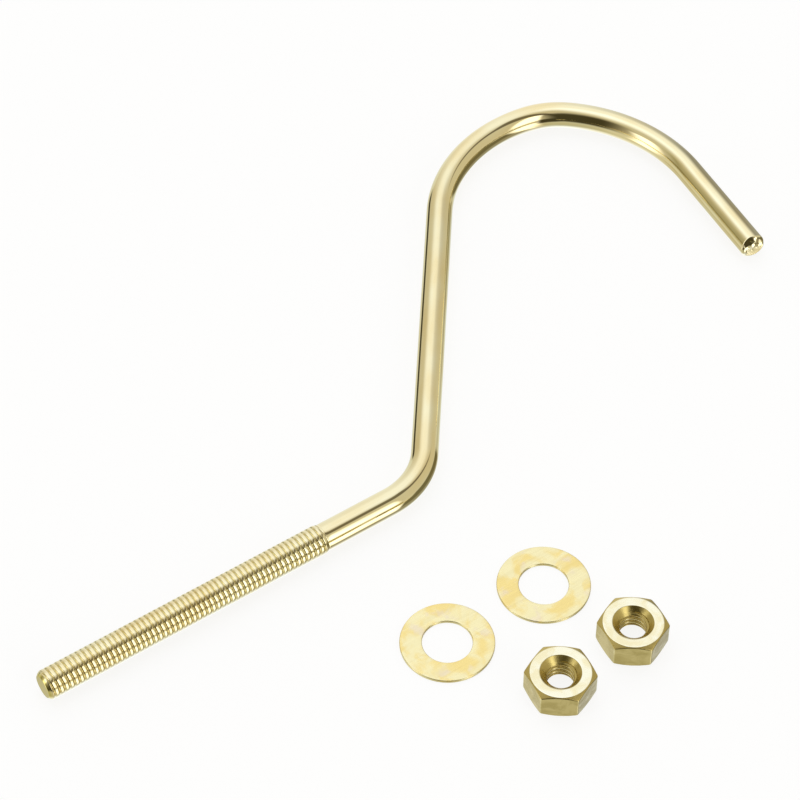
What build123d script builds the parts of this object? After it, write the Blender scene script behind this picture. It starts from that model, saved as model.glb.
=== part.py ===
from build123d import *
import math
import os

# Bridge stick hook: a plated steel rod bent into a long arm and a crook, with a threaded shank,
# and the two hex nuts and two flat washers that clamp it through a wall, laid beside it.
# Millimetres, +Z up. The rod lies flat with its centre line in the plane Z = 0.
# The shank runs along X, its free end towards -X, and the origin is on its axis halfway along the thread.

# Rod and thread
rod_diameter = 7.3
thread_diameter = 7.94
thread_pitch = 1.411
thread_length = 82.1
thread_end_chamfer = 0.9
thread_runout = 1.4
plain_length = 20.5

# Bends of the rod, from the shank to the tip: angles in degrees, radii on the centre line
bend_radius = 21.0
bend_angle = 52.7
stem_length = 87.6
near_shoulder_radius = 42.9
near_shoulder_angle = 62.0
crown_radius = 23.3
crown_angle = 31.6
far_shoulder_radius = 43.8
far_shoulder_angle = 55.1
tail_length = 33.7

# Tip: the rod is sheared off, which rounds its edge and leaves a break that slopes back over the top
# and turns towards the arm
tip_round = 0.9
break_slope = 62.0
break_turn = 20.0
break_height = 2.2

# Hex nuts, for the rod's thread
nut_across_flats = 15.88
nut_height = 7.6
nut_chamfer_angle = 30.0
nut_face_margin = 0.6
nut_thread_clearance = 0.3
nut_countersink_margin = 2.46
nut_countersink_angle = 90.0

# Flat washers, loose on the rod's thread
washer_rim_width = 5.6
washer_bore_clearance = 4.76
washer_thickness = 0.8
washer_edge_break = 0.15

# Where the loose pieces lie: the first washer along the shank from the origin and out from its axis on
# the open side, the second beside it and set in a little, and the nuts in a row beyond the washers
washer_1_along = 49.9
washer_1_out = 42.7
washer_gap = 6.5
washer_2_inset = 1.0
row_gap = 6.0
nut_1_shift = 14.8
nut_gap = 5.4
nut_2_inset = 2.0
nut_1_turn = 22.0
nut_2_turn = 23.0

# Worked out from the sizes above
rod_radius = rod_diameter / 2
thread_radius = thread_diameter / 2
free_end = -thread_length / 2
thread_stop = thread_length / 2
floor_level = -max(thread_radius, rod_radius)
nut_bore_radius = (thread_diameter - 1.0825 * thread_pitch + nut_thread_clearance) / 2
nut_mouth_radius = (thread_diameter + nut_countersink_margin) / 2
nut_face_radius = (nut_across_flats - nut_face_margin) / 2
nut_corner_radius = nut_across_flats / 2 / math.cos(math.radians(30))
washer_bore_radius = (thread_diameter + washer_bore_clearance) / 2
washer_outer_radius = washer_bore_radius + washer_rim_width
washer_2_along = washer_1_along + 2 * washer_outer_radius + washer_gap
washer_2_out = washer_1_out - washer_2_inset
nut_1_along = washer_1_along + nut_1_shift
nut_1_out = washer_1_out + washer_outer_radius + row_gap + nut_corner_radius
nut_2_along = nut_1_along + 2 * nut_corner_radius + nut_gap
nut_2_out = nut_1_out - nut_2_inset
washer_spots = ((washer_1_along, -washer_1_out), (washer_2_along, -washer_2_out))
nut_spots = ((nut_1_along, -nut_1_out), (nut_2_along, -nut_2_out))
nut_turns = (nut_1_turn, nut_2_turn)


def rod_centre_line():
    # straight runs joined by tangent arcs, from the end of the thread to the sheared tip
    thread_end = Vector(thread_stop, 0)
    shank = Line(thread_end, thread_end + Vector(plain_length, 0))
    bend = JernArc(shank @ 1, shank % 1, bend_radius, bend_angle)
    stem = Line(bend @ 1, bend @ 1 + (bend % 1) * stem_length)
    near_shoulder = JernArc(stem @ 1, stem % 1, near_shoulder_radius, -near_shoulder_angle)
    crown = JernArc(near_shoulder @ 1, near_shoulder % 1, crown_radius, -crown_angle)
    far_shoulder = JernArc(crown @ 1, crown % 1, far_shoulder_radius, -far_shoulder_angle)
    tail = Line(far_shoulder @ 1, far_shoulder @ 1 + (far_shoulder % 1) * tail_length)
    return Wire([shank, bend, stem, near_shoulder, crown, far_shoulder, tail])


def bent_rod(centre_line):
    section = Plane(origin=centre_line @ 0, z_dir=centre_line % 0) * Circle(rod_radius)
    rod = sweep(section, path=centre_line)
    tip_face = rod.faces().sort_by_distance(centre_line @ 1)[0]
    return fillet(tip_face.edges(), tip_round) - sheared_break(centre_line)


def sheared_break(centre_line):
    # all that lies beyond a plane leaning back from the tip over the top of the rod
    slope = math.radians(break_slope)
    level = (centre_line % 1).rotate(Axis.Z, -break_turn)
    outward = level * math.sin(slope) + Vector(0, 0, math.cos(slope))
    face = Plane(origin=centre_line @ 1 + Vector(0, 0, break_height), z_dir=outward)
    reach = 3 * rod_diameter
    return face * Box(reach, reach, reach, align=(Align.CENTER, Align.CENTER, Align.MIN))


def threaded_stretch():
    # the thread's outer cylinder, chamfered at the free end and run out to the plain rod
    profile = Polyline(
        (free_end, 0),
        (free_end, thread_radius - thread_end_chamfer),
        (free_end + thread_end_chamfer, thread_radius),
        (thread_stop - thread_runout, thread_radius),
        (thread_stop, rod_radius),
        (thread_stop, 0),
        close=True,
    )
    return revolve(make_face(profile), axis=Axis.X)


def hook():
    return threaded_stretch() + bent_rod(rod_centre_line())


def turned(*outline):
    # a solid of revolution about Z from its half outline, given as (radius, height) points
    return revolve(make_face(Plane.XZ * Polyline(*outline, close=True)), axis=Axis.Z)


def hex_nut(spot, turn):
    # a hexagonal bar's slice, its corners turned down at both faces, with a countersunk bore
    drop = (nut_corner_radius - nut_face_radius) * math.tan(math.radians(nut_chamfer_angle))
    depth = (nut_mouth_radius - nut_bore_radius) / math.tan(math.radians(nut_countersink_angle / 2))
    body = extrude(RegularPolygon(nut_corner_radius, 6), nut_height) & turned(
        (0, 0),
        (nut_face_radius, 0),
        (nut_corner_radius, drop),
        (nut_corner_radius, nut_height - drop),
        (nut_face_radius, nut_height),
        (0, nut_height),
    )
    bore = turned(
        (0, 0),
        (nut_mouth_radius, 0),
        (nut_bore_radius, depth),
        (nut_bore_radius, nut_height - depth),
        (nut_mouth_radius, nut_height),
        (0, nut_height),
    )
    return Location((*spot, floor_level), (0, 0, turn)) * (body - bore)


def flat_washer(spot):
    # a stamped ring with its four rims slightly broken
    ring = Circle(washer_outer_radius) - Circle(washer_bore_radius)
    blank = extrude(ring, washer_thickness)
    rims = blank.edges().filter_by(GeomType.CIRCLE)
    return Location((*spot, floor_level)) * chamfer(rims, washer_edge_break)


os.makedirs("parts", exist_ok=True)
export_step(hook(), "parts/hook.step")
for number, (spot, turn) in enumerate(zip(nut_spots, nut_turns), start=1):
    export_step(hex_nut(spot, turn), f"parts/hex_nut_{number}.step")
for number, spot in enumerate(washer_spots, start=1):
    export_step(flat_washer(spot), f"parts/flat_washer_{number}.step")
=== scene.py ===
import math

import bpy
import numpy as np
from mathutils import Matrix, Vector


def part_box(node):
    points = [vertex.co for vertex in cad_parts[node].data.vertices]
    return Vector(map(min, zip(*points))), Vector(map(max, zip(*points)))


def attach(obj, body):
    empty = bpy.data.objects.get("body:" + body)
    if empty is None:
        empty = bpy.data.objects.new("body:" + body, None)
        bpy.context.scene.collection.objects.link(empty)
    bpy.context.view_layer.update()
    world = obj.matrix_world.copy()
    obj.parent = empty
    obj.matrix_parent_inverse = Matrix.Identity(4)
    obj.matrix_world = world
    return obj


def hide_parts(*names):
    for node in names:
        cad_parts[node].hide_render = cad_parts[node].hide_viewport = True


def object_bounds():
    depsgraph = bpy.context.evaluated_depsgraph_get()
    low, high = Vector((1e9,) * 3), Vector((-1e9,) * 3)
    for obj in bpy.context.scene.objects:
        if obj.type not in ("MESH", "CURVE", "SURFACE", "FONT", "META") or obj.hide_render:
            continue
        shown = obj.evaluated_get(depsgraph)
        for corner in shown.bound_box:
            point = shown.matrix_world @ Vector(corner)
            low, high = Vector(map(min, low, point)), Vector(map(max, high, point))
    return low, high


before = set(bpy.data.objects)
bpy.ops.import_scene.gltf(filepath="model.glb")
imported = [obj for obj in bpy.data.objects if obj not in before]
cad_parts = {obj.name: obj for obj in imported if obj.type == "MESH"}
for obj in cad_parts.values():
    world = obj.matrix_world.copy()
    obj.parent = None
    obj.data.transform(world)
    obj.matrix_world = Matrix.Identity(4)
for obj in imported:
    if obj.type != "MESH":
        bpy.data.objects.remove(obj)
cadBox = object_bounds()
mm = 0.001
print("frame loaded, its box in metres:", cadBox)


def linearFromHex(code, light=1.0):
    # each sRGB channel s becomes s/12.92 up to 0.04045 and ((s + 0.055)/1.055)^2.4 above it, times the light
    channels = np.array([int(code[i:i + 2], 16) for i in (0, 2, 4)]) / 255
    curved = ((channels + 0.055) / 1.055) ** 2.4
    return (*(light * np.where(channels <= 0.04045, channels / 12.92, curved)).tolist(), 1.0)


def addNode(tree, kind, settings=None, **inputs):
    # one node with its settings; an input is a plain value, or an output socket to link from, and in0, in1
    # and so on are inputs by number
    node = tree.nodes.new(kind)
    for key, value in (settings or {}).items():
        setattr(node, key, value)
    for key, value in inputs.items():
        numbered = key.startswith("in") and key[2:].isdigit()
        socket = node.inputs[int(key[2:]) if numbered else key.replace("_", " ")]
        if isinstance(value, bpy.types.NodeSocket):
            tree.links.new(value, socket)
        else:
            socket.default_value = value
    return node


smoothly = {"interpolation_type": "SMOOTHSTEP"}     # for a Map Range node
inColour = {"data_type": "RGBA"}                    # for a Mix node


def smoothStep(low, high, x):
    # 3t^2 - 2t^3, where t runs from 0 at low to 1 at high
    t = np.clip((x - low) / (high - low), 0, 1)
    return t * t * (3 - 2 * t)


def softMin(a, b, width):
    # the smaller of two values, with the corner between them rounded over width
    return 0.5 * (a + b - np.sqrt((a - b) ** 2 + width ** 2))


def gridMesh(name, grid, closed=False, poles=()):
    # a grid of points in mm, wrapped round along its columns, its rows wrapped too or ended in poles
    rows, cols = grid.shape[:2]
    index = np.arange(rows * cols).reshape(rows, cols)
    lower = index if closed else index[:-1]
    upper = np.roll(index, -1, axis=0) if closed else index[1:]
    quads = np.stack([lower, np.roll(lower, -1, axis=1), np.roll(upper, -1, axis=1), upper], axis=-1)
    points, faces = grid.reshape(-1, 3), quads.reshape(-1, 4).tolist()
    if len(poles):
        points = np.vstack([points, poles])
        for ring, pole in ((index[0][::-1], rows * cols), (index[-1], rows * cols + 1)):
            faces += np.stack([ring, np.roll(ring, -1), np.full(cols, pole)], axis=-1).tolist()
    mesh = bpy.data.meshes.new(name)
    mesh.from_pydata((points * mm).tolist(), [], faces)
    mesh.polygons.foreach_set("use_smooth", np.ones(len(mesh.polygons), dtype=bool))
    mesh.update()
    return mesh


def addPiece(name, mesh, material, node):
    # a finished piece that takes its CAD node's place
    mesh.materials.append(material)
    piece = bpy.data.objects.new(name, mesh)
    bpy.context.scene.collection.objects.link(piece)
    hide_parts(node)
    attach(piece, "root")
    print("made", name, "with", len(mesh.polygons), "faces")


def metalMaterial(name):
    # an empty metal, ready for its own nodes: its tree and its shader
    material = bpy.data.materials.new(name)
    material.use_nodes = True
    shader = material.node_tree.nodes["Principled BSDF"]
    shader.inputs["Metallic"].default_value = 1.0
    return material, material.node_tree, shader


# Camera: above the hook on its open side, looking down on it where it lies
view = {
    "turn": 34.3,               # degrees from +Y towards +X, the line of sight over the floor
    "elevation": 49.5,
    "distance": 793.7,
    "lens": 135.0,
    "sensor": 36.0,
    "nearClip": 50.0,
    "target": (83.2, 27.0, 0.0),
}


def lineOfSight(turn, elevation):
    # unit vector to a place on the sky, its turn measured clockwise from the camera's line of sight
    turn, elevation = math.radians(turn + view["turn"]), math.radians(elevation)
    level = math.cos(elevation)
    return np.array([math.sin(turn) * level, math.cos(turn) * level, math.sin(elevation)])


camera = bpy.data.objects.new("camera", bpy.data.cameras.new("camera"))
camera.data.lens = view["lens"]
camera.data.sensor_width = view["sensor"]
camera.data.clip_start = view["nearClip"] * mm
towards = lineOfSight(180, view["elevation"])
camera.location = (np.array(view["target"]) + towards * view["distance"]) * mm
camera.rotation_euler = Vector(towards).to_track_quat("Z", "Y").to_euler()
bpy.context.scene.collection.objects.link(camera)
bpy.context.scene.camera = camera
bpy.context.scene.view_settings.view_transform = "Standard"
print("camera set")


# Hook: a rod carried along runs and tangent arcs, threaded at its start and sheared at its end
hook = {
    "rodRadius": 3.65,
    "threadRadius": 3.97,
    "threadPitch": 1.411,
    "threadLength": 82.1,
    "threadDepth": 0.66,
    "crestPower": 4.0,          # 2 is a half ellipse over each crest, more is flatter with a narrower groove
    "endChamfer": 0.9,
    "runout": 1.4,
    "route": (
        ("run", 82.1 + 20.5), ("arc", 21.0, 52.7), ("run", 87.6), ("arc", 42.9, -62.0),
        ("arc", 23.3, -31.6), ("arc", 43.8, -55.1), ("run", 33.7),
    ),
    "tipRound": 0.9,
    "breakSlope": 62.0,
    "breakTurn": 20.0,
    "breakHeight": 2.2,
    "columns": 72,
    "rowsPerTurn": 16,
    "rodRowStep": 1.0,
    "fineStretch": 2.4,         # the last stretch before the tip's round edge, in rows fineStep apart
    "fineStep": 0.12,
    "roundRows": 13,
    "tipFaceRows": 22,
    "endFaceRings": (0.3, 0.6, 0.85, 0.96),     # shares of the threaded end's radius
    "endEdgeRound": 0.15,
    "bright": "F7EEC5",
    "warm": "F4E4B2",
    # groove: a darker, deeper gold painted into the thread's grooves as painted shade
    "groove": "E2D484",
    "grooveTop": 0.1,           # how far below its crest the painted shade of the grooves starts
    "patch": (14.0, 5.0, 5.0),  # length and widths of a warmer, duller patch
    "drawnLine": (40.0, 0.6, 0.6),      # real ones are finer than a pixel
    "lineHeight": 0.01,
    "roughness": (0.035, 0.075),        # from the brightest patches to the dullest
}


def followRoute(route, start, along):
    # at arc length s a run gives p0 + s(cos h, sin h); an arc of signed radius r turns the heading h by s/r
    # and gives p0 + r(sin h - sin h0, cos h0 - cos h)
    x, y, heading = (np.zeros_like(along) for _ in range(3))
    x0, y0, h0, s0 = start, 0.0, 0.0, 0.0
    for kind, size, *turn in route:
        bend = math.radians(turn[0]) if kind == "arc" else 0.0
        length = abs(bend) * size if kind == "arc" else size
        s = np.append(along - s0, length)      # the last value is the stretch's own end
        if kind == "arc":
            radius = math.copysign(size, bend)
            h = h0 + s / radius
            px = x0 + radius * (np.sin(h) - math.sin(h0))
            py = y0 + radius * (math.cos(h0) - np.cos(h))
        else:
            h = np.full_like(s, h0)
            px = x0 + s * math.cos(h0)
            py = y0 + s * math.sin(h0)
        here = along >= s0
        x = np.where(here, px[:-1], x)
        y = np.where(here, py[:-1], y)
        heading = np.where(here, h[:-1], heading)
        x0, y0, h0, s0 = px[-1], py[-1], h[-1], s0 + length
    return x, y, heading, s0


def threadProfile(phase):
    # how far a rolled thread lies below its crest: the depth times 1 - (1 - (2c)^n)^(1/2), where c is the
    # share of a pitch from the nearest crest, which leaves broad round crests and narrow grooves
    fromCrest = np.abs((phase + 0.5) % 1.0 - 0.5)
    return hook["threadDepth"] * (1 - np.sqrt(np.clip(1 - (2 * fromCrest) ** hook["crestPower"], 0, 1)))


# Marks that the shears left on the sheared end: each one's middle in mm across and up, radius, height
# along the rod, and tilt, which is how fast its height falls upward
tipMarks = {
    "pip": {"across": -0.4, "up": 1.2, "radius": 0.95, "height": 0.30, "tilt": 0.24},
    "pipCrown": {"across": -0.2, "up": 2.3, "radius": 0.85, "height": 0.24, "tilt": -0.38},
    "nickBesidePip": {"across": -2.1, "up": 1.0, "radius": 0.7, "height": -0.12, "tilt": 0.0},
    "pit": {"across": -0.35, "up": -0.8, "radius": 0.28, "height": -0.30, "tilt": 0.0},
    "bead": {"across": 1.35, "up": 0.55, "radius": 0.30, "height": 0.16, "tilt": 0.0},
    "burr": {"across": -2.9, "up": -0.9, "radius": 0.75, "height": 0.22, "tilt": 0.0},
}
tipLook = {
    "lean": 0.08,
    "ridge": 0.045,
    "ridgeSpacing": 0.62,
    "ridgeSlant": 0.5,
    "ridgeFade": (-0.6, 0.4),   # the heights between which the ridges die out
    "sideDrop": 0.35,
    "dropAcross": (0.6, 1.5),
    "dropUp": (-1.0, 0.6),
    "reach": 12.0,              # how far from the tip the sloping break can act
}


def tipRelief(across, up):
    # the end leans a little to one side and drops back there in a smooth step, its lower half is ridged by
    # a sine, and each mark adds (height - tilt v) exp(-(d / radius)^4), where d is the distance from the
    # mark's middle and v how far up from it
    look = tipLook
    relief = look["lean"] * across
    relief -= look["sideDrop"] * smoothStep(*look["dropAcross"], across) * smoothStep(*look["dropUp"], up)
    lowerHalf = 1 - smoothStep(*look["ridgeFade"], up)
    wave = (across - look["ridgeSlant"] * up) * 2 * np.pi / look["ridgeSpacing"]
    relief += look["ridge"] * lowerHalf * np.sin(wave)
    for mark in tipMarks.values():
        distance = np.hypot(across - mark["across"], up - mark["up"]) / mark["radius"]
        relief += (mark["height"] - mark["tilt"] * (up - mark["up"])) * np.exp(-distance ** 4)
    return relief


def hookRings():
    # arc length and radius of each ring of points: the threaded end's face, the thread, the plain rod,
    # finer rings near the tip, its rounded edge and its sheared face
    h = hook
    total = followRoute(h["route"], 0.0, np.zeros(1))[3]
    endFace = (h["threadRadius"] - h["endChamfer"]) * np.array(h["endFaceRings"])
    pitchStep = h["threadPitch"] / h["rowsPerTurn"]
    thread = np.arange(0.0, h["threadLength"] + pitchStep, pitchStep)
    roundStart = total - h["tipRound"]
    nearTip = np.arange(roundStart - h["fineStretch"], roundStart, h["fineStep"])
    rodRings = int((nearTip[0] - thread[-1]) / h["rodRowStep"])
    rod = np.linspace(thread[-1], nearTip[0], rodRings)[1:-1]
    bow = np.radians(np.linspace(0, 90, h["roundRows"]))
    faceRadius = h["rodRadius"] - h["tipRound"]
    tipFace = faceRadius * np.linspace(1, 0, h["tipFaceRows"])[1:-1]
    along = np.concatenate([
        np.zeros(len(endFace)), thread, rod, nearTip,
        total - h["tipRound"] * (1 - np.sin(bow)), np.full(len(tipFace), total),
    ])
    radius = np.concatenate([
        endFace, np.full(len(thread), h["threadRadius"]), np.full(len(rod) + len(nearTip), h["rodRadius"]),
        faceRadius + h["tipRound"] * np.cos(bow), tipFace,
    ])
    return along, radius


def hookMesh():
    # the point at arc length a and angle t is the route's centre + r(a, t)(cos t side + sin t up)
    h = hook
    along, ringRadius = hookRings()
    total = along[-1]
    angle = np.arange(h["columns"]) * 2 * np.pi / h["columns"]
    a, base = along[:, None], ringRadius[:, None]
    fade = 1 - smoothStep(h["threadLength"] - h["runout"], h["threadLength"], a)
    crest = h["rodRadius"] + (h["threadRadius"] - h["rodRadius"]) * fade
    cut = threadProfile(a / h["threadPitch"] - angle / (2 * np.pi))
    threaded = softMin(crest - cut * fade, h["threadRadius"] - h["endChamfer"] + a, h["endEdgeRound"])
    radius = np.where(base == h["threadRadius"], threaded, base)
    x, y, heading, _ = followRoute(h["route"], -h["threadLength"] / 2, along)
    side = np.stack([-np.sin(heading), np.cos(heading), np.zeros_like(heading)], axis=-1)
    centre = np.stack([x, y, np.zeros_like(x)], axis=-1)
    across, up = radius * np.cos(angle), radius * np.sin(angle)
    grid = centre[:, None] + across[..., None] * side[:, None] + up[..., None] * np.array([0.0, 0.0, 1.0])
    travel = np.array([math.cos(heading[-1]), math.sin(heading[-1]), 0.0])
    onTip = smoothStep(total - h["tipRound"], total, a)
    grid = breakTip(grid, travel, centre[-1])
    grid += (onTip * tipRelief(across, up))[..., None] * travel
    poles = np.stack([centre[0], centre[-1] + tipRelief(np.zeros(1), np.zeros(1)) * travel])
    mesh = gridMesh("hook", grid, poles=poles)
    straight = np.stack([np.repeat(a, h["columns"], axis=1), across, up], axis=-1).reshape(-1, 3)
    ends = np.array([[0.0, 0.0, 0.0], [total, 0.0, 0.0]])
    layer = mesh.attributes.new("straightRod", "FLOAT_VECTOR", "POINT")    # the rod before it was bent
    layer.data.foreach_set("vector", (np.vstack([straight, ends]) * mm).ravel())
    return mesh


def breakTip(points, travel, tip):
    # points beyond the sloping break slide back along the rod onto its plane
    slope, turn = math.radians(hook["breakSlope"]), math.radians(-hook["breakTurn"])
    level = np.array([travel[0] * math.cos(turn) - travel[1] * math.sin(turn),
                      travel[0] * math.sin(turn) + travel[1] * math.cos(turn), 0.0])
    normal = level * math.sin(slope) + np.array([0.0, 0.0, math.cos(slope)])
    near = np.linalg.norm(points - tip, axis=-1) < tipLook["reach"]
    beyond = (points - tip) @ normal - hook["breakHeight"] * math.cos(slope)
    back = np.where(near, np.maximum(beyond, 0), 0) / (normal @ travel)
    return points - back[..., None] * travel


def platedDrawnRod():
    # bright brass plate over cold drawn steel: pale gold, mirror-like, with faint lines drawn along the rod,
    # slightly warmer and duller patches, and a darker, deeper gold painted into the thread's grooves as
    # shade
    material, tree, shader = metalMaterial("brassPlateOnDrawnSteel")
    rod = addNode(tree, "ShaderNodeAttribute", {"attribute_name": "straightRod"}).outputs["Vector"]
    patchScale = [1 / (size * mm) for size in hook["patch"]]
    patchPlace = addNode(tree, "ShaderNodeVectorMath", {"operation": "MULTIPLY"}, in0=rod, in1=patchScale)
    patches = addNode(tree, "ShaderNodeTexNoise", Vector=patchPlace.outputs[0], Scale=1.0, Detail=2.0)
    lineScale = [1 / (size * mm) for size in hook["drawnLine"]]
    linePlace = addNode(tree, "ShaderNodeVectorMath", {"operation": "MULTIPLY"}, in0=rod, in1=lineScale)
    lines = addNode(tree, "ShaderNodeTexNoise", Vector=linePlace.outputs[0], Scale=1.0, Detail=3.0)
    parts = addNode(tree, "ShaderNodeSeparateXYZ", Vector=rod).outputs
    flat = addNode(tree, "ShaderNodeCombineXYZ", X=0.0, Y=parts["Y"], Z=parts["Z"])
    radius = addNode(tree, "ShaderNodeVectorMath", {"operation": "LENGTH"}, in0=flat.outputs[0])
    # painted shade: the deeper the surface lies in the thread's groove, the more of the groove's darker gold
    # it takes
    depth = addNode(tree, "ShaderNodeMapRange", smoothly, Value=radius.outputs["Value"],
                    From_Min=(hook["threadRadius"] - hook["threadDepth"]) * mm,
                    From_Max=(hook["threadRadius"] - hook["grooveTop"]) * mm, To_Min=1.0, To_Max=0.0)
    threaded = addNode(tree, "ShaderNodeMath", {"operation": "LESS_THAN"}, in0=parts["X"],
                       in1=(hook["threadLength"] - hook["runout"]) * mm)
    grooveShade = addNode(tree, "ShaderNodeMath", {"operation": "MULTIPLY"},
                      in0=depth.outputs[0], in1=threaded.outputs[0])
    warmth = addNode(tree, "ShaderNodeMapRange", Value=patches.outputs[0], From_Min=0.35, From_Max=0.65)
    plate = addNode(tree, "ShaderNodeMix", inColour, in0=warmth.outputs[0],
                    in6=linearFromHex(hook["bright"]), in7=linearFromHex(hook["warm"]))
    colour = addNode(tree, "ShaderNodeMix", inColour, in0=grooveShade.outputs[0],
                     in6=plate.outputs[2], in7=linearFromHex(hook["groove"]))
    tree.links.new(colour.outputs[2], shader.inputs["Base Color"])
    dulling = addNode(tree, "ShaderNodeMapRange", Value=patches.outputs[0], From_Min=0.3, From_Max=0.7,
                      To_Min=hook["roughness"][0], To_Max=hook["roughness"][1])
    tree.links.new(dulling.outputs[0], shader.inputs["Roughness"])
    bump = addNode(tree, "ShaderNodeBump", Strength=0.25, Distance=hook["lineHeight"] * mm,
                   Height=lines.outputs[0])
    tree.links.new(bump.outputs[0], shader.inputs["Normal"])
    return material


addPiece("bentHook", hookMesh(), platedDrawnRod(), "hook")


# Hex nuts: one closed surface round each bore, hexagon and chamfer cones outside, thread and mouths inside
hexNut = {
    "acrossFlats": 15.88,
    "faceRadius": 7.64,
    "chamferAngle": 30.0,
    "mouthRadius": 5.2,
    "mouthAngle": 90.0,
    "boreRadius": 3.356,
    "threadPitch": 1.411,
    "threadDepth": 0.68,
    "flank": (0.08, 0.46),      # where the thread's flank runs, in shares of a pitch from its crest
    "cornerSharpness": 60,
    "edgeRound": 0.14,
    "mouthEdgeRound": 0.08,
    "columns": 216,
    "crowding": 0.75,           # how far the columns crowd towards the corners
    "outerRows": 100,
    "faceRows": 10,
    "boreRows": 110,
    "turns": (22.0, 23.0),
    # bright and dull: the end face that points up, painted paler than the flats as a painted highlight
    "bright": "FBF7DC",
    "dull": "F6ECC2",
    "flats": "F0E2AC",
    "flatsWorn": "DACB90",
    # turned: the chamfers and mouths that face up, painted darker as painted shade
    "turned": "CDBA74",
    "turnedUpright": (0.88, 0.98),      # how upright a face's normal is where the end face gives way
    "flatsUpright": (0.25, 0.60),       # to the turned chamfer, and the chamfer to the flats
    "smudge": 4.5,
    "smudgeHeight": 0.25,
    "grain": 0.7,
    "grainHeight": 0.02,
    "roughness": (0.084, 0.204),
    "tooled": 0.18,             # what the tool marks add to the roughness
}


def hexRadius(angle, apothem, sharpness):
    # apothem over the p-norm of the cosines to the six flats, which rounds the corners a little
    flats = np.radians(30 + 60 * np.arange(6))
    cosines = np.maximum(np.cos(angle[:, None] - flats), 0)
    return apothem / (cosines ** sharpness).sum(axis=1) ** (1 / sharpness)


def nutMesh(name, low, high, turn):
    # radius over height and angle: the least of the hexagon and two cones outside, the greater of the
    # thread and two mouth cones inside, joined by flat faces
    n = hexNut
    tall = (high.z - low.z) / mm
    even = np.arange(n["columns"]) * 2 * np.pi / n["columns"]
    angle = even - n["crowding"] * np.sin(6 * even) / 6
    hexagon = hexRadius(angle, n["acrossFlats"] / 2, n["cornerSharpness"])
    lean = math.tan(math.radians(n["chamferAngle"]))
    climb = (0.5 - 0.5 * np.cos(np.linspace(0, np.pi, n["outerRows"])))[:, None] * tall
    cone = n["faceRadius"] + np.minimum(climb, tall - climb) / lean
    outer = softMin(hexagon[None], cone, n["edgeRound"])
    top = outer[-1:] + (n["mouthRadius"] - outer[-1:]) * np.linspace(0, 1, n["faceRows"])[1:-1, None]
    bore = np.linspace(tall, 0, n["boreRows"])[:, None]
    mouth = n["mouthRadius"] - np.minimum(bore, tall - bore) * math.tan(math.radians(n["mouthAngle"] / 2))
    phase = bore / n["threadPitch"] - angle[None] / (2 * np.pi)
    fromCrest = np.abs((phase + 0.5) % 1 - 0.5)
    wall = n["boreRadius"] + n["threadDepth"] * smoothStep(*n["flank"], fromCrest)
    inner = -softMin(-wall, -mouth, n["mouthEdgeRound"])
    radius = np.vstack([outer, top, inner, top[::-1]])
    wide = np.ones((1, n["columns"]))
    height = np.vstack([climb * wide, np.full_like(top, tall), bore * wide, np.zeros_like(top)])
    turned = angle + math.radians(turn)
    middle = (low + high) / 2 / mm
    grid = np.stack([
        middle.x + radius * np.cos(turned), middle.y + radius * np.sin(turned), low.z / mm + height,
    ], axis=-1)
    return gridMesh(name, grid, closed=True)


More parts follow.
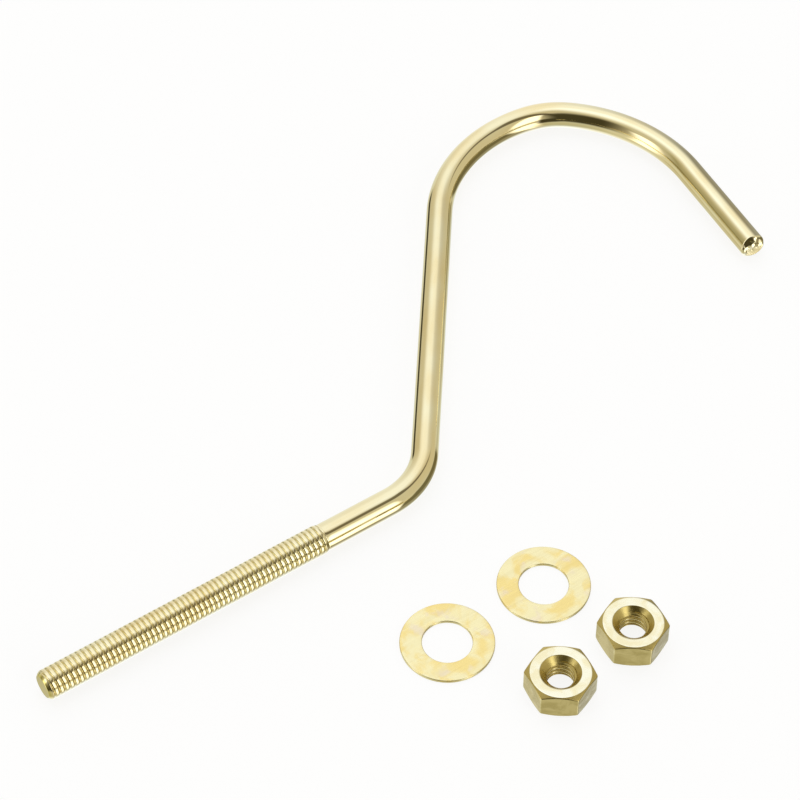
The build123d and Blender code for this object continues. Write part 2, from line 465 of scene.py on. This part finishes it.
def platedFormedNut():
    # bright brass plate over cold formed steel: flats a little uneven from the forming die, so their
    # reflections run into soft smudges, the end face that points up painted paler than the flats as a
    # painted highlight, and the upward turned chamfers and mouths painted darker as painted shade, their
    # fine tool marks keeping them duller
    material, tree, shader = metalMaterial("brassPlateOnFormedSteel")
    place = addNode(tree, "ShaderNodeTexCoord").outputs["Object"]
    smudges = addNode(tree, "ShaderNodeTexNoise", Vector=place, Scale=1 / (hexNut["smudge"] * mm),
                      Detail=3.0, Distortion=0.8)
    grain = addNode(tree, "ShaderNodeTexNoise", Vector=place, Scale=1 / (hexNut["grain"] * mm), Detail=2.0)
    share = addNode(tree, "ShaderNodeMapRange", smoothly,
                    Value=smudges.outputs[0], From_Min=0.38, From_Max=0.64)
    # the upward end face's colour, paler than the flats: a painted highlight, mottled by the smudges
    litTopAndRubbedStreaks = addNode(tree, "ShaderNodeMix", inColour, in0=share.outputs[0],
                     in6=linearFromHex(hexNut["bright"]), in7=linearFromHex(hexNut["dull"]))
    # each face's colour goes by how far it points up: the upward end face gets the painted highlight, upward
    # chamfers and mouths the painted shade, and the rest the flats' colour
    facing = addNode(tree, "ShaderNodeNewGeometry").outputs["Normal"]
    upright = addNode(tree, "ShaderNodeSeparateXYZ", Vector=facing).outputs["Z"]
    turnedFrom, turnedTo = hexNut["turnedUpright"]
    sloping = addNode(tree, "ShaderNodeMapRange", smoothly,
                      Value=upright, From_Min=turnedFrom, From_Max=turnedTo, To_Min=1.0, To_Max=0.0)
    flatsFrom, flatsTo = hexNut["flatsUpright"]
    steep = addNode(tree, "ShaderNodeMapRange", smoothly,
                    Value=upright, From_Min=flatsFrom, From_Max=flatsTo, To_Min=1.0, To_Max=0.0)
    turned = addNode(tree, "ShaderNodeMix", inColour, in0=sloping.outputs[0],
                     in6=litTopAndRubbedStreaks.outputs[2], in7=linearFromHex(hexNut["turned"]))
    flats = addNode(tree, "ShaderNodeMix", inColour, in0=share.outputs[0],
                    in6=linearFromHex(hexNut["flats"]), in7=linearFromHex(hexNut["flatsWorn"]))
    colour = addNode(tree, "ShaderNodeMix", inColour, in0=steep.outputs[0],
                     in6=turned.outputs[2], in7=flats.outputs[2])
    tree.links.new(colour.outputs[2], shader.inputs["Base Color"])
    dulling = addNode(tree, "ShaderNodeMapRange", Value=smudges.outputs[0], From_Min=0.35, From_Max=0.65,
                      To_Min=hexNut["roughness"][0], To_Max=hexNut["roughness"][1])
    tooled = addNode(tree, "ShaderNodeMath", {"operation": "SUBTRACT"}, in0=sloping.outputs[0],
                     in1=steep.outputs[0])
    duller = addNode(tree, "ShaderNodeMath", {"operation": "MULTIPLY_ADD"}, in0=tooled.outputs[0],
                     in1=hexNut["tooled"], in2=dulling.outputs[0])
    tree.links.new(duller.outputs[0], shader.inputs["Roughness"])
    waves = addNode(tree, "ShaderNodeBump", Strength=0.35, Distance=hexNut["smudgeHeight"] * mm,
                    Height=smudges.outputs[0])
    fine = addNode(tree, "ShaderNodeBump", Strength=0.3, Distance=hexNut["grainHeight"] * mm,
                   Height=grain.outputs[0], Normal=waves.outputs[0])
    tree.links.new(fine.outputs[0], shader.inputs["Normal"])
    return material


nutPlate = platedFormedNut()
for number, turn in enumerate(hexNut["turns"], start=1):
    mesh = nutMesh(f"hexNut{number}", *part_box(f"hex_nut_{number}"), turn)
    addPiece(f"hexNut{number}", mesh, nutPlate, f"hex_nut_{number}")


# Flat washers: a thin stamped ring, its upper rim rolled over by the punch
flatWasher = {
    "rimWidth": 5.6,
    "rolledRim": 0.20,
    "cutRim": 0.05,
    "columns": 180,
    "rimRows": 7,
    "flatRows": 9,
    "gold": "F7E094",
    "pale": "F9EEBA",
    "violet": "EFDFC6",
    "cloud": 6.5,
    "tint": 4.0,
    "tintShift": (0.3, 0.1, 0.2),
    "streak": (12.0, 0.5, 2.0),     # length, width and depth of a rubbed streak
    "streakTurn": -62.0,
    "streakHeight": 0.03,
    "roughness": (0.225, 0.39),
}


def washerMesh(name, low, high):
    # a rectangle with four rounded rims, as radius and height, turned about the upright axis
    w = flatWasher
    middle, tall = (low + high) / 2 / mm, (high.z - low.z) / mm
    outer = (high.x - low.x) / 2 / mm
    inner = outer - w["rimWidth"]
    angle = np.arange(w["columns"]) * 2 * np.pi / w["columns"]
    quarter = np.radians(np.linspace(0, 90, w["rimRows"]))
    roll, cut = w["rolledRim"], w["cutRim"]
    rims = (            # centre radius, centre height, round radius, starting angle of each rounded rim
        (outer - cut, cut, cut, -90), (outer - roll, tall - roll, roll, 0),
        (inner + roll, tall - roll, roll, 90), (inner + cut, cut, cut, 180),
    )
    corners = []
    for r, z, size, start in rims:
        swept = quarter + math.radians(start)
        corners.append((r + size * np.cos(swept), z + size * np.sin(swept)))
    share = np.linspace(0, 1, w["flatRows"])[1:-1]
    outline = []
    for (r0, z0), (r1, z1) in zip(corners, corners[1:] + corners[:1]):
        flat = np.stack([r0[-1] + (r1[0] - r0[-1]) * share, z0[-1] + (z1[0] - z0[-1]) * share])
        outline.append(np.hstack([np.stack([r0, z0]), flat]))
    radius, height = np.hstack(outline)[:, :, None]
    grid = np.stack([
        middle.x + radius * np.cos(angle), middle.y + radius * np.sin(angle),
        np.repeat(low.z / mm + height, w["columns"], axis=1),
    ], axis=-1)
    return gridMesh(name, grid, closed=True)


def passivatedWasher():
    # yellow passivated zinc on stamped steel: cloudy gold and whitish patches with a hint of violet,
    # faint rubbed streaks and a soft sheen
    material, tree, shader = metalMaterial("yellowPassivatedZinc")
    place = addNode(tree, "ShaderNodeTexCoord").outputs["Object"]
    clouds = addNode(tree, "ShaderNodeTexNoise", Vector=place, Scale=1 / (flatWasher["cloud"] * mm),
                     Detail=4.0, Distortion=0.6)
    blend = addNode(tree, "ShaderNodeMapRange", smoothly,
                    Value=clouds.outputs[0], From_Min=0.42, From_Max=0.60)
    gilt = addNode(tree, "ShaderNodeMix", inColour, in0=blend.outputs[0],
                   in6=linearFromHex(flatWasher["gold"]), in7=linearFromHex(flatWasher["pale"]))
    shifted = addNode(tree, "ShaderNodeMapping", Vector=place, Location=flatWasher["tintShift"])
    tints = addNode(tree, "ShaderNodeTexNoise", Vector=shifted.outputs[0],
                    Scale=1 / (flatWasher["tint"] * mm), Detail=3.0)
    hint = addNode(tree, "ShaderNodeMapRange", smoothly,
                   Value=tints.outputs[0], From_Min=0.55, From_Max=0.72, To_Max=0.6)
    colour = addNode(tree, "ShaderNodeMix", inColour, in0=hint.outputs[0],
                     in6=gilt.outputs[2], in7=linearFromHex(flatWasher["violet"]))
    tree.links.new(colour.outputs[2], shader.inputs["Base Color"])
    litTopAndRubbedStreaks = addNode(tree, "ShaderNodeMapping", Vector=place,
                     Rotation=(0.0, 0.0, math.radians(flatWasher["streakTurn"])),
                     Scale=[1 / (size * mm) for size in flatWasher["streak"]])
    streaks = addNode(tree, "ShaderNodeTexNoise", Vector=litTopAndRubbedStreaks.outputs[0], Scale=1.0, Detail=2.0)
    sheen = addNode(tree, "ShaderNodeMapRange", Value=streaks.outputs[0], From_Min=0.3, From_Max=0.7,
                    To_Min=flatWasher["roughness"][0], To_Max=flatWasher["roughness"][1])
    tree.links.new(sheen.outputs[0], shader.inputs["Roughness"])
    bump = addNode(tree, "ShaderNodeBump", Strength=0.3, Distance=flatWasher["streakHeight"] * mm,
                   Height=streaks.outputs[0])
    tree.links.new(bump.outputs[0], shader.inputs["Normal"])
    return material


zincPlate = passivatedWasher()
for number in (1, 2):
    mesh = washerMesh(f"flatWasher{number}", *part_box(f"flat_washer_{number}"))
    addPiece(f"flatWasher{number}", mesh, zincPlate, f"flat_washer_{number}")


# Floor: matt white board that the camera sees lifted to white, with the pieces' shadows left on it
floorBoard = {"board": "F7F7F7", "seenBoard": 0.22, "glow": 0.85, "halfSize": 900.0}


def whiteBoard():
    # matt white board: its bare fibres scatter the light evenly, with no gloss, and a glow that only the
    # camera sees lifts it to white
    material = bpy.data.materials.new("mattWhiteBoard")
    material.use_nodes = True
    tree = material.node_tree
    tree.nodes.remove(tree.nodes["Principled BSDF"])
    seen = addNode(tree, "ShaderNodeLightPath").outputs["Is Camera Ray"]
    shade = addNode(tree, "ShaderNodeMix", inColour, in0=seen,
                    in6=linearFromHex(floorBoard["board"]),
                    in7=linearFromHex(floorBoard["board"], floorBoard["seenBoard"]))
    matt = addNode(tree, "ShaderNodeBsdfDiffuse", Color=shade.outputs[2])
    glow = addNode(tree, "ShaderNodeMath", {"operation": "MULTIPLY"}, in0=seen, in1=floorBoard["glow"])
    lift = addNode(tree, "ShaderNodeEmission", Strength=glow.outputs[0])
    both = addNode(tree, "ShaderNodeAddShader", in0=matt.outputs[0], in1=lift.outputs[0])
    tree.links.new(both.outputs[0], tree.nodes["Material Output"].inputs["Surface"])
    return material


square = np.array([[-1, -1, 0], [1, -1, 0], [1, 1, 0], [-1, 1, 0]])
corners = (np.array(view["target"]) + floorBoard["halfSize"] * square) * mm
corners[:, 2] = cadBox[0][2]
floorMesh = bpy.data.meshes.new("floor")
floorMesh.from_pydata(corners.tolist(), [], [(0, 1, 2, 3)])
floorMesh.materials.append(whiteBoard())
floor = bpy.data.objects.new("floor", floorMesh)
floor.visible_glossy = False        # the metal shows the tent's white lower half in its place
bpy.context.scene.collection.objects.link(floor)
print("floor laid")


# Light: a white tent all round, above and below, with softboxes and darker cards hung in it.
# Turns are from the line of sight, halves are tangents, and later cards hang in front of earlier ones.
# The gap is a darker strip high on the right, where two of the tent's cloths part.
tent = {
    "sky": {"colour": "FFF7E0", "light": 0.62},
    "rightOfGap": {"colour": "FFF7DE", "light": 0.64},
    "gap": {"colour": "FFEECE", "light": 0.16, "turn": 113, "rise": 61, "half": 0.12, "soft": 0.05,
            "foot": (0.35, 0.60), "leftEnd": (0.35, 0.43)},
    "below": {"colour": "FFFFF0", "light": 0.72, "edge": (-0.05, 0.01)},
    "cards": {
        "overhead": {"turn": -23, "rise": 67, "wide": 0.42, "high": 0.50, "soft": 0.34,
                     "colour": "EAF0FF", "light": 1.50},
        "front": {"turn": 4, "rise": 16, "wide": 0.46, "high": 1.42, "soft": 0.58,
                  "colour": "FBFCFF", "light": 1.06},
        "rightShade": {"turn": 85, "rise": -22, "wide": 0.60, "high": 0.34, "soft": 0.07,
                       "colour": "FFF2B8", "light": 0.17},
        "rightFloorShade": {"turn": 110, "rise": -67, "wide": 0.75, "high": 0.44, "soft": 0.19,
                            "colour": "FFFFEE", "light": 0.30},
        "rightSoftbox": {"turn": 135, "rise": -4, "wide": 0.26, "high": 1.36, "soft": 0.09,
                         "colour": "FFFFFF", "light": 1.85},
        "rightHorizon": {"turn": 125, "rise": 0, "wide": 0.40, "high": 0.15, "soft": 0.08,
                         "colour": "FFF8E0", "light": 0.67},
        "darkBehindCamera": {"turn": 194, "rise": 19, "wide": 0.64, "high": 0.85, "soft": 0.34,
                             "colour": "FFF0B0", "light": 0.06},
        "darkRight": {"turn": 162, "rise": -6, "wide": 0.29, "high": 0.34, "soft": 0.13,
                      "colour": "FFF0B0", "light": 0.06},
        "leftSoftbox": {"turn": -112.5, "rise": -1.5, "wide": 0.17, "high": 0.69, "soft": 0.12,
                        "colour": "FFFFFF", "light": 1.75},
        "leftHorizon": {"turn": -107, "rise": -3, "wide": 0.12, "high": 0.08, "soft": 0.06,
                        "colour": "FFFAE8", "light": 0.80},
        "leftSpot": {"turn": -47, "rise": -11.5, "wide": 0.19, "high": 0.155, "soft": 0.05,
                     "colour": "FFF0C2", "light": 0.06},
        "frontCrescent": {"turn": 25, "rise": 1, "wide": 0.12, "high": 0.74, "soft": 0.46,
                          "colour": "FFF0C2", "light": 0.04},
        "crescentFoot": {"turn": 17.5, "rise": -35, "wide": 0.08, "high": 0.13, "soft": 0.07,
                         "colour": "FFF4D0", "light": 0.37},
        "nearShade": {"turn": 45.5, "rise": -10, "wide": 0.07, "high": 0.23, "soft": 0.04,
                      "colour": "FFF4C8", "light": 0.33},
        "lowBehind": {"turn": 178, "rise": -48, "wide": 0.55, "high": 0.40, "soft": 0.29,
                      "colour": "FFFADA", "light": 0.54},
        "leftShade": {"turn": -84.5, "rise": 15, "wide": 0.11, "high": 0.44, "soft": 0.16,
                      "colour": "FFF7C5", "light": 0.36},
        "leftDark": {"turn": -89, "rise": 3, "wide": 0.15, "high": 0.10, "soft": 0.05,
                     "colour": "FFF4C0", "light": 0.25},
        "gapEnd": {"turn": 89, "rise": 64, "wide": 0.20, "high": 0.07, "soft": 0.05,
                   "colour": "FFF0C8", "light": 0.18},
        "underneath": {"turn": 20, "rise": -74.5, "wide": 0.46, "high": 0.57, "soft": 0.50,
                       "colour": "E4ECFF", "light": 1.45},
        "rightFootShade": {"turn": 82, "rise": -47, "wide": 0.50, "high": 0.17, "soft": 0.13,
                           "colour": "FFF6D4", "light": 0.32},
        "leftFootShade": {"turn": -78, "rise": -35, "wide": 0.16, "high": 0.10, "soft": 0.08,
                          "colour": "FFF8D8", "light": 0.56},
        "leftLowShade": {"turn": -56, "rise": -50, "wide": 0.14, "high": 0.12, "soft": 0.12,
                         "colour": "FFFAE0", "light": 0.58},
    },
}


def cardMask(tree, sky, card):
    # a card square to its own facing direction f covers the ray d where |d.a / d.f| and |d.u / d.f| stay
    # within its halves, a and u being the directions across and up it; d.f is held above 0, so that
    # nothing behind the card is covered
    facing = lineOfSight(card["turn"], card["rise"])
    across = lineOfSight(card["turn"] + 90, 0)
    depth = addNode(tree, "ShaderNodeVectorMath", {"operation": "DOT_PRODUCT"}, in0=sky, in1=facing)
    ahead = addNode(tree, "ShaderNodeMath", {"operation": "MAXIMUM"}, in0=depth.outputs["Value"], in1=0.001)
    inside = []
    for axis, half in ((across, card["wide"]), (np.cross(across, facing), card["high"])):
        offset = addNode(tree, "ShaderNodeVectorMath", {"operation": "DOT_PRODUCT"}, in0=sky, in1=axis)
        slope = addNode(tree, "ShaderNodeMath", {"operation": "DIVIDE"},
                        in0=offset.outputs["Value"], in1=ahead.outputs[0])
        size = addNode(tree, "ShaderNodeMath", {"operation": "ABSOLUTE"}, in0=slope.outputs[0])
        inside.append(addNode(tree, "ShaderNodeMapRange", smoothly,
                              Value=size.outputs[0], From_Min=half - card["soft"],
                              From_Max=half + card["soft"], To_Min=1.0, To_Max=0.0).outputs[0])
    mask = addNode(tree, "ShaderNodeMath", {"operation": "MULTIPLY"}, in0=inside[0], in1=inside[1])
    return mask.outputs[0]


def buildTent():
    # each layer is mixed over those before it by its own mask, and the camera sees plain white in the
    # tent's place
    world = bpy.data.worlds.new("tent")
    world.use_nodes = True
    tree = world.node_tree
    sky = addNode(tree, "ShaderNodeTexCoord").outputs["Generated"]
    rise = addNode(tree, "ShaderNodeSeparateXYZ", Vector=sky).outputs["Z"]
    gap = tent["gap"]
    fromGap = addNode(tree, "ShaderNodeVectorMath", {"operation": "DOT_PRODUCT"}, in0=sky,
                      in1=lineOfSight(gap["turn"] + 180, 90 - gap["rise"])).outputs["Value"]
    rightSide = addNode(tree, "ShaderNodeMapRange", smoothly, Value=fromGap,
                        From_Min=-gap["soft"], From_Max=gap["soft"], To_Min=1.0, To_Max=0.0)
    gapSize = addNode(tree, "ShaderNodeMath", {"operation": "ABSOLUTE"}, in0=fromGap)
    inGap = addNode(tree, "ShaderNodeMapRange", smoothly, Value=gapSize.outputs[0],
                    From_Min=gap["half"] - gap["soft"], From_Max=gap["half"] + gap["soft"],
                    To_Min=1.0, To_Max=0.0)
    highUp = addNode(tree, "ShaderNodeMapRange", smoothly, Value=rise,
                     From_Min=gap["foot"][0], From_Max=gap["foot"][1])
    toRight = addNode(tree, "ShaderNodeVectorMath", {"operation": "DOT_PRODUCT"}, in0=sky,
                      in1=lineOfSight(gap["turn"], 0))
    onRight = addNode(tree, "ShaderNodeMapRange", smoothly, Value=toRight.outputs["Value"],
                      From_Min=gap["leftEnd"][0], From_Max=gap["leftEnd"][1])
    highGap = addNode(tree, "ShaderNodeMath", {"operation": "MULTIPLY"},
                      in0=inGap.outputs[0], in1=highUp.outputs[0])
    gapMask = addNode(tree, "ShaderNodeMath", {"operation": "MULTIPLY"},
                      in0=highGap.outputs[0], in1=onRight.outputs[0])
    edge = tent["below"]["edge"]
    below = addNode(tree, "ShaderNodeMapRange", smoothly, Value=rise,
                    From_Min=edge[0], From_Max=edge[1], To_Min=1.0, To_Max=0.0)
    layers = [(tent["rightOfGap"], rightSide.outputs[0]), (gap, gapMask.outputs[0]),
              (tent["below"], below.outputs[0])]
    layers += [(card, cardMask(tree, sky, card)) for card in tent["cards"].values()]
    light = linearFromHex(tent["sky"]["colour"], tent["sky"]["light"])
    for card, mask in layers:
        light = addNode(tree, "ShaderNodeMix", inColour, in0=mask, in6=light,
                        in7=linearFromHex(card["colour"], card["light"])).outputs[2]
    seen = addNode(tree, "ShaderNodeLightPath").outputs["Is Camera Ray"]
    light = addNode(tree, "ShaderNodeMix", inColour, in0=seen, in6=light, in7=(1.0, 1.0, 1.0, 1.0))
    tree.links.new(light.outputs[2], tree.nodes["Background"].inputs["Color"])
    bpy.context.scene.world = world


buildTent()
print("tent lit")
